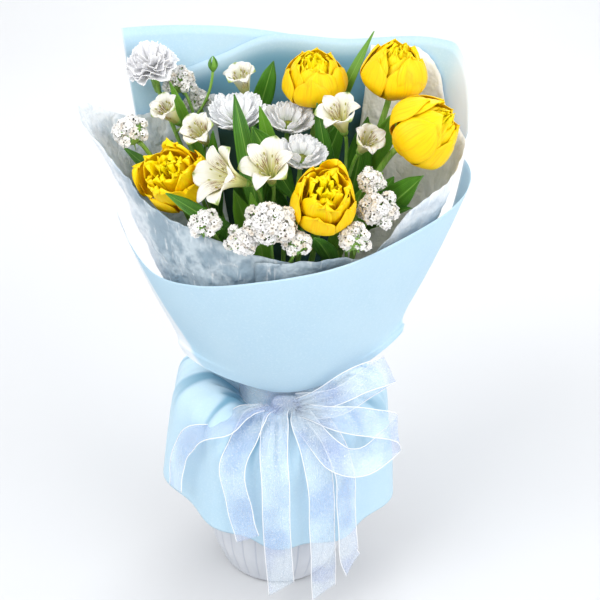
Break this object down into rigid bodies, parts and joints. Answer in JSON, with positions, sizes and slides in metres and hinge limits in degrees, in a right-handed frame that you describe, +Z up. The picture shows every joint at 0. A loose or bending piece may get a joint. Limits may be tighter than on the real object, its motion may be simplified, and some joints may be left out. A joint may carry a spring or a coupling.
{
  "type": "wrapped bunch of tulips in a vase",
  "caption": "Yellow double tulips with small white flowers, wrapped in pale blue paper and tissue, tied with sheer ribbon and standing in a fluted white vase.",
  "frame": {"origin": "middle of the vase's foot, on the surface it stands on", "axes": "+Z up, out of the vase; -Y towards the open front of the wrap; +X to the right as seen from the front"},
  "size_m": [0.3183, 0.199, 0.5119],
  "materials": {
    "ceramic": "satin glaze",
    "water": "clear",
    "twine": "matt",
    "wrap_paper": "satin",
    "tissue_paper": "matt",
    "organza_ribbon": "sheer",
    "tulip_petal": "soft",
    "white_petal": "soft",
    "papery_floret": "papery",
    "stem_leaf": "waxy"
  },
  "bodies": {
    "root": {"tulip_1": "tulip_petal", "tulip_1_green": "stem_leaf", "tulip_2": "tulip_petal", "tulip_2_green": "stem_leaf", "tulip_3": "tulip_petal", "tulip_3_green": "stem_leaf", "tulip_4": "tulip_petal", "tulip_4_green": "stem_leaf", "tulip_5": "tulip_petal", "tulip_5_green": "stem_leaf", "alstroemeria_1_a": "white_petal", "alstroemeria_1_b": "white_petal", "alstroemeria_1_green": "stem_leaf", "alstroemeria_2_a": "white_petal", "alstroemeria_2_b": "white_petal", "alstroemeria_2_green": "stem_leaf", "alstroemeria_3_a": "white_petal", "alstroemeria_3_green": "stem_leaf", "alstroemeria_4_a": "white_petal", "alstroemeria_4_b": "white_petal", "alstroemeria_4_green": "stem_leaf", "daisy_1": "white_petal", "daisy_1_green": "stem_leaf", "daisy_2": "white_petal", "daisy_2_green": "stem_leaf", "daisy_3": "white_petal", "daisy_3_green": "stem_leaf", "statice_1": "papery_floret", "statice_1_green": "stem_leaf", "statice_2": "papery_floret", "statice_2_green": "stem_leaf", "statice_3": "papery_floret", "statice_3_green": "stem_leaf", "statice_4": "papery_floret", "statice_4_green": "stem_leaf", "statice_5": "papery_floret", "statice_5_green": "stem_leaf", "carnation": "white_petal", "carnation_green": "stem_leaf", "wrap_front": "wrap_paper", "wrap_back_left": "wrap_paper", "wrap_back_right": "wrap_paper", "tissue_right": "tissue_paper", "tissue_left": "tissue_paper", "wrap_skirt": "wrap_paper", "ribbon": "organza_ribbon", "vase": "ceramic", "water": "water", "stem_tie": "twine"}
  },
  "joints": []
}
